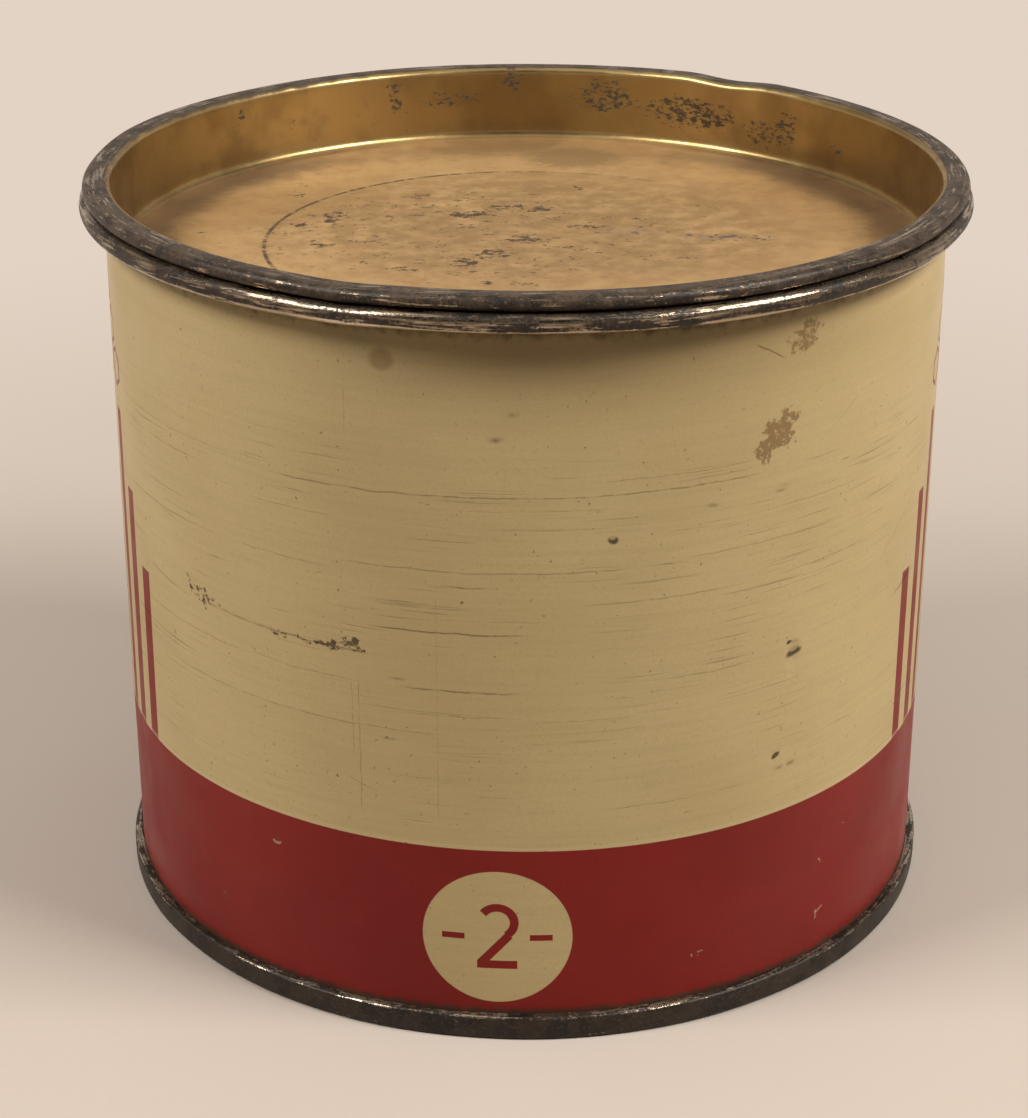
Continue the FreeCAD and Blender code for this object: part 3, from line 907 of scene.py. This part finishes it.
def gold_lid():
    material, n, surface = shader("gold lacquer", {"IOR": 1.5, "Specular IOR Level": 0.3})
    point = n.point_mm()
    x, y, z = n.separate(point)
    radius = n.radius_of(x, y)
    flat = n.combine(x, y, 0.0)
    wobble = n.combine(n.noise(point, 0.55, 4, 0.65), n.noise(point, 0.85, 4, 0.65), 0.0)
    wobble = n.vector("SUBTRACT", wobble, (0.5, 0.5, 0.0))
    ragged = n.vector("ADD", flat, n.vector("MULTIPLY", wobble, (7.0, 6.0, 0.0)))
    up_wall = n.rise(z, PANEL + 0.03, PANEL + 0.30)
    clouds = n.noise(point, 0.05, 4, 0.55)
    small = n.noise(point, 0.32, 4, 0.6)
    grain = n.noise(point, 2.2, 3, 0.6)

    tan = n.tones(clouds, *TANS)
    tan = n.mix(n.rise(small, 0.45, 0.72, 0.45), tan, TAN_MOTTLE)
    gold = n.tones(clouds, *GOLDS)
    gold = n.mix(n.rise(small, 0.5, 0.72, 0.4), gold, GOLD_MOTTLE)
    # Brown lacquer that has darkened in patches on the plug wall, and painted shade in a broad ring round
    # the panel, deeper where those patches lie.
    brown = n.rise(n.noise(point, 0.07, 3, 0.55), 0.44, 0.60)
    gold = n.mix(n.times(brown, 0.45), gold, GOLD_AGED)
    rim_shade_and_browning = n.times(n.rise(n.sum(radius, n.times(small, 9.0)), 43, 51), n.blend(brown, 0.35, 0.9))
    tan = n.mix(n.times(rim_shade_and_browning, 0.75), tan, TAN_RIM_SHADE_AND_AGED)
    # A painted reflection of the plug wall: a dark band just inside the fillet, behind the middle at both
    # sides.
    band = n.times(n.rise(n.sum(radius, n.times(small, 5.0)), 45.5, 50.5),
                   n.rise(n.absolute(x), 16, 34), n.rise(y, -12, 6))
    tan = n.mix(n.times(band, 0.7), tan, TAN_WALL_REFLECTION)
    worn_middle = n.times(n.mark(flat, (2.0, 6.0), (44, 32)), n.rise(small, 0.3, 0.6))
    tan = n.mix(n.times(worn_middle, 0.62), tan, TAN_MIDDLE)
    colour = n.mix(up_wall, tan, gold)

    def spread(listed):
        return n.most(n.mark(ragged, (a * R, b * R), (w * MARK_SPREAD, h * MARK_SPREAD), turn, strength)
                      for a, b, w, h, turn, strength in listed)

    spots = spread(PANEL_SPOTS)
    smudge = spread(SMUDGES)
    rash = n.noise(point, (0.75, 1.15, 1.0), 5, 0.72)
    crowded = n.most([n.times(spots, 0.16), n.times(smudge, 0.11)])
    spots = n.times(n.rise(n.sum(rash, crowded), 0.605, 0.66), n.rise(crowded, 0.0, 0.04))
    # Fine dark freckles inside the ring, most of them left of the middle.
    freckles = n.rise(n.noise(point, (0.75, 1.1, 1.0), 4, 0.68), 0.59, 0.645)
    crowd = n.most([n.mark(flat, (-0.17 * R, 0.06 * R), (34, 26)),
                    n.mark(flat, (0.3 * R, 0.05 * R), (22, 16), 0, 0.55)])
    freckles = n.times(freckles, crowd)
    # The scribed ring: clear at the left, faint at the right.
    side = n.sum(n.times(x, -0.02), n.times(small, 0.9))
    ring = n.times(n.rise(n.absolute(n.less(radius, RING)), 0.42, 0.12),
                   n.rise(side, -0.15, 0.75), n.rise(z, PANEL + 0.3, PANEL + 0.1),
                   n.rise(rash, 0.36, 0.54))
    # The plug wall, unrolled from the back.
    up_face = n.combine(n.times(n.math("ARCTAN2", x, y), PLUG_IN), z, 0.0)
    up_ragged = n.vector("ADD", up_face, n.vector("MULTIPLY", wobble, (3.5, 2.6, 0.0)))
    rust = n.most(n.mark(up_ragged, (math.radians(a) * PLUG_IN, level * R),
                         (math.radians(w) * PLUG_IN * MARK_SPREAD, h * R * MARK_SPREAD), 0, strength)
                  for a, level, w, h, strength in PLUG_RUST)
    eaten = n.sum(n.noise(point, (0.95, 0.95, 1.9), 5, 0.72), n.times(rust, 0.13))
    rust = n.times(n.rise(eaten, 0.60, 0.67), n.rise(rust, 0.0, 0.2), up_wall)
    stray = n.times(n.rise(n.noise(point, 0.9, 5, 0.7), 0.64, 0.70), up_wall,
                    n.rise(n.noise(point, 0.08, 2), 0.45, 0.6))
    # The lacquer ends in a ragged line at the curl.
    ragged_z = n.sum(z, n.sum(n.times(clouds, 1.6), n.times(small, 0.8)))
    top_edge = n.rise(ragged_z, LID_TOP + 0.75, LID_TOP + 1.35)
    dark = n.most([spots, n.times(freckles, 0.85), ring, rust, n.times(stray, 0.8), top_edge])
    colour = n.mix(n.times(dark, 0.92), colour, LID_RUST)

    colour = n.mix(n.times(smudge, 0.3), colour, SMUDGE_GREY)
    # A painted shadow on the panel behind its middle.
    shade = n.mark(ragged, (0.13 * R, 0.77 * R), (8.5, 6.5), -10)
    colour = n.mix(n.times(shade, 0.62), colour, TAN_SHADE)
    # Painted shade with dirt in the corner at the foot of the plug wall.
    corner_shade_and_dirt = n.times(n.rise(radius, PLUG_IN - 4.5, PLUG_IN - 0.8), n.rise(z, PANEL + 1.3, PANEL + 0.4),
                   n.rise(small, 0.38, 0.62))
    colour = n.mix(n.times(corner_shade_and_dirt, 0.4), colour, TAN_CORNER_SHADE_AND_DIRT)
    n.feed(surface["Base Color"], colour)
    n.feed(surface["Metallic"], n.blend(dark, n.blend(up_wall, 0.28, 0.92), 0.15))
    rough = n.blend(up_wall, n.blend(n.rise(clouds, 0.3, 0.7), 0.42, 0.52), 0.30)
    rough = n.sum(rough, n.times(n.rise(small, 0.4, 0.7), 0.08))
    n.feed(surface["Roughness"], n.blend(n.most([dark, n.times(smudge, 0.6)]), rough, 0.78))
    bumped(n, surface, n.sum(n.times(grain, 0.3), n.times(small, 0.5)), 0.02)
    return material


# ---- the pieces

PRINT = printed_wall()
BODY_CURL = oxidised_tin(
    "body curl tin",
    [(CURL_FOOT - 0.2, CURL_FOOT + 0.75, 0.085, 1.0), (CURL_TOP - 1.3, CURL_TOP + 0.3, 0.035, 0.1)],
    -0.035, 0.6)
LID_CURL = oxidised_tin("lid curl tin", [], -0.055, 0.85)
SEAM_TIN = oxidised_tin(
    "seam tin",
    [(0.25, 0.9, 0.05, 0.6), (SEAM_TOP - 0.4, SEAM_TOP + 0.3, 0.12, 0.7)],
    -0.15, 0.45)
DULL = hidden_tin()
GOLD = gold_lid()

FINE_AZIMUTHS = graded(-180, 179.4, 0.6)
AZIMUTHS = graded(-180, 179.25, 0.75)
# Radii of the rings in the panel's mesh, inside and outside the scribed ring.
INNER_RINGS = (6, 12, 18, 24, 29)
OUTER_RINGS = (37, 41, 45, 48)


def make_lid():
    groove = [(RING - 0.35, PANEL), (RING - 0.1, PANEL - RING_DEPTH), (RING + 0.1, PANEL - RING_DEPTH),
              (RING + 0.35, PANEL)]
    under = PANEL - PLATE
    levels = graded(PANEL + 2, LID_TOP - 1.5, 1.3)
    outline = bent([
        (0, PANEL), *((r, PANEL) for r in INNER_RINGS), *groove, *((r, PANEL) for r in OUTER_RINGS),
        (PLUG_IN, PANEL, PLUG_FILLET), *((PLUG_IN, z) for z in levels),
        *rolled_curl(PLUG_IN, RIM_EDGE, LID_TOP, RIM_HEIGHT),
        *((PLUG_OUT, z) for z in reversed(levels)), (PLUG_OUT, under, PLUG_FILLET + PLATE),
        *((r, under) for r in reversed(INNER_RINGS + OUTER_RINGS)), (0, under)])

    crest = next(i for i, point in enumerate(outline) if point.y > LID_TOP - 0.1)
    curl_end = max(i for i, point in enumerate(outline) if point.y > LID_TOP - RIM_HEIGHT - 0.1)

    def kind(number, start, end):
        return 0 if number < crest else 1 if number <= curl_end else 2

    return turned("plug_lid", outline, FINE_AZIMUTHS, worn, [GOLD, LID_CURL, DULL], kind)


def make_body():
    rows = graded(SEAM_TOP - 0.3, LAP_TOP - 0.6, 3.0, DING_ROWS)
    rows += [LAP_TOP - 0.2, LAP_TOP - 0.05, LAP_TOP + 0.1]
    outline = bent([
        (0, FILL_TOP), (NECK - 6, FILL_TOP), (NECK, FILL_TOP), (NECK, FILL_TOP + 3), (NECK, CURL_TOP - 2),
        *rolled_curl(NECK, CURL_EDGE, CURL_TOP, CURL_HEIGHT),
        *[(WALL, z) for z in reversed(rows)],
        (WALL, PLATE + SEAM_GAP), (NECK, PLATE + SEAM_GAP), (NECK, END_TOP + SEAM_GAP),
        (0, END_TOP + SEAM_GAP)])

    def kind(number, start, end):
        on_wall = abs(start.x - WALL) < 1e-3 and abs(end.x - WALL) < 1e-3
        if on_wall and end.y < CURL_FOOT + 0.5:
            return 0
        return 1 if min(start.y, end.y) > CURL_FOOT - 0.1 and start.x > NECK - 0.01 else 2

    lap_edges = [(side * 176.5, 0.35, 0.07) for side in (-1, 1)]
    azimuths = graded(-180, 179.25, 0.75, [*DING_COLUMNS, *lap_edges])
    return turned("body_and_curl", outline, azimuths, wall_worn, [PRINT, BODY_CURL, DULL], kind)


def make_end():
    inside = WALL - PLATE - SEAM_GAP
    chuck = inside - PLATE
    under = END_TOP - PLATE
    outline = bent([
        (0, END_TOP), *bead(INNER_BEAD, END_TOP), *bead(OUTER_BEAD, END_TOP),
        (inside, END_TOP, CHUCK_FILLET + PLATE), (inside, PLATE), (WALL + SEAM_GAP, PLATE),
        (WALL + SEAM_GAP, SEAM_TOP), (SEAM_EDGE, SEAM_TOP, SEAM_TOP_ROUND),
        (SEAM_EDGE, 0, SEAM_FOOT_ROUND), (chuck, 0, SEAM_FOOT_ROUND), (chuck, under, CHUCK_FILLET),
        *reversed(bead(OUTER_BEAD, under)), *reversed(bead(INNER_BEAD, under)), (0, under)])

    def kind(number, start, end):
        middle = (start + end) / 2
        return 0 if middle.x > chuck + 0.3 and middle.y < SEAM_TOP + 0.01 else 1

    return turned("end_and_seam", outline, AZIMUTHS, seam_worn, [SEAM_TIN, DULL], kind)


for piece, node in ((make_lid(), "lid"), (make_body(), "can_body"), (make_end(), "bottom_end")):
    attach(piece, "root")
    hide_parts(node)


# ---- floor, light and camera

BACKDROP = (0.77, 0.65, 0.55)
FLOORS = (0.485, 0.418, 0.364), (0.51, 0.44, 0.385)
FLOOR_GRAIN = (0.48, 0.40, 0.33)
FLOOR_SPECK = (0.38, 0.30, 0.23)
FLOOR_BOUNCE = (0.24, 0.205, 0.165)
BACKDROP_FROM = (85, 320)  # radii between which the floor turns into the backdrop
# The room's light: behind the tin, round it, overhead, and in front where the viewer stands.
ROOM_BEHIND = (0.46, 0.42, 0.37)
ROOM_AROUND = (0.05, 0.047, 0.042)
ROOM_ABOVE = (0.95, 0.90, 0.82)
ROOM_FRONT = (0.022, 0.018, 0.015)
# Two soft boxes: name, azimuth, watts, colour.
LAMPS = [("key_right", 67, 7.8, (1.0, 0.97, 0.91)), ("key_left", -67, 5.9, (1.0, 0.97, 0.92))]
LAMP_ELEVATION = 45
LAMP_DISTANCE = 0.9  # from the aim, in metres, as are its size and FLOOR_HALF
LAMP_SIZE = (0.36, 0.27)
AIM = Vector((0, 0, 0.045))
FLOOR_HALF = 3.0
FLOOR_STEPS = 8
CAMERA_PLACE = (-1.47, -321.26, 180.98)
CAMERA_TILT = 66.34
CAMERA_LENS = 84.16  # on a sensor 36 mm wide


def only_seen(n):
    """1 for what the camera sees, by itself or in a reflection, and else 0."""
    path = n.add("ShaderNodeLightPath").outputs
    return n.most([path["Is Camera Ray"], path["Is Glossy Ray"], path["Is Transmission Ray"]])


def pale_floor():
    material, n, surface = shader("pale table", {"IOR": 1.45})
    point = n.point_mm()
    clouds = n.noise(point, 0.006, 3)
    grain = n.noise(point, 0.9, 3, 0.6)
    colour = n.tones(clouds, *FLOORS)
    colour = n.mix(n.rise(grain, 0.55, 0.8, 0.12), colour, FLOOR_GRAIN)
    specks = n.rise(n.noise(point, 0.35, 4, 0.7), 0.70, 0.73)
    colour = n.mix(n.times(specks, 0.3), colour, FLOOR_SPECK)
    # It turns into a pale backdrop further away, which is only seen and lights nothing.
    seen = only_seen(n)
    far = n.times(n.rise(n.vector("LENGTH", point), *BACKDROP_FROM), seen)
    colour = n.mix(far, colour, (0.0, 0.0, 0.0))
    # It throws less light back at the tin than its colour would.
    n.feed(surface["Base Color"], n.mix(seen, FLOOR_BOUNCE, colour))
    n.fill(surface, {"Emission Color": BACKDROP, "Emission Strength": far})
    n.feed(surface["Specular IOR Level"], n.less(0.5, n.times(far, 0.5)))
    n.feed(surface["Roughness"], n.blend(grain, 0.5, 0.7))
    bumped(n, surface, grain, 0.02)
    return material


def make_floor():
    line = [FLOOR_HALF * (2 * index / FLOOR_STEPS - 1) for index in range(FLOOR_STEPS + 1)]
    vertices = [(x, y, 0.0) for y in line for x in line]
    corners = [row * len(line) + col for row in range(FLOOR_STEPS) for col in range(FLOOR_STEPS)]
    faces = [[near, near + 1, near + len(line) + 1, near + len(line)] for near in corners]
    mesh = bpy.data.meshes.new("table")
    mesh.from_pydata(vertices, [], faces)
    mesh.materials.append(pale_floor())
    placed("table", mesh)


def soft_box(name, azimuth, watts, colour):
    lamp = bpy.data.lights.new(name, "AREA")
    lamp.shape = "RECTANGLE"
    lamp.size, lamp.size_y = LAMP_SIZE
    lamp.energy = watts
    lamp.color = colour
    box = placed(name, lamp)
    turn, lift = math.radians(azimuth), math.radians(LAMP_ELEVATION)
    box.location = AIM + LAMP_DISTANCE * Vector(
        (math.sin(turn) * math.cos(lift), -math.cos(turn) * math.cos(lift), math.sin(lift)))
    box.rotation_euler = (AIM - box.location).to_track_quat("-Z", "Y").to_euler()


def make_room():
    """A dim room with a soft light overhead, and a pale horizon that is only seen."""
    world = bpy.data.worlds.new("room")
    world.use_nodes = True
    scene.world = world
    n = Nodes(world.node_tree)
    _, y, z = n.separate(n.add("ShaderNodeTexCoord").outputs["Generated"])
    colour = n.mix(n.times(n.rise(y, 0.0, 0.75), n.rise(z, 0.85, 0.4)), ROOM_AROUND, ROOM_BEHIND)
    colour = n.mix(n.rise(y, 0.1, -0.8, 0.8), colour, ROOM_FRONT)
    colour = n.mix(n.rise(z, 0.80, 0.92), colour, ROOM_ABOVE)
    colour = n.mix(n.times(only_seen(n), n.rise(z, 0.40, 0.20)), colour, BACKDROP)
    background = world.node_tree.nodes["Background"].inputs
    n.fill(background, {"Color": colour, "Strength": 1.0})


def make_camera():
    lens = bpy.data.cameras.new("camera")
    lens.sensor_width = 36.0
    lens.lens = CAMERA_LENS
    eye = placed("camera", lens)
    eye.location = Vector(CAMERA_PLACE) * MM
    eye.rotation_euler = Euler((math.radians(CAMERA_TILT), 0, 0))
    scene.camera = eye


make_floor()
for lamp in LAMPS:
    soft_box(*lamp)
make_room()
make_camera()
scene.view_settings.view_transform = "Standard"
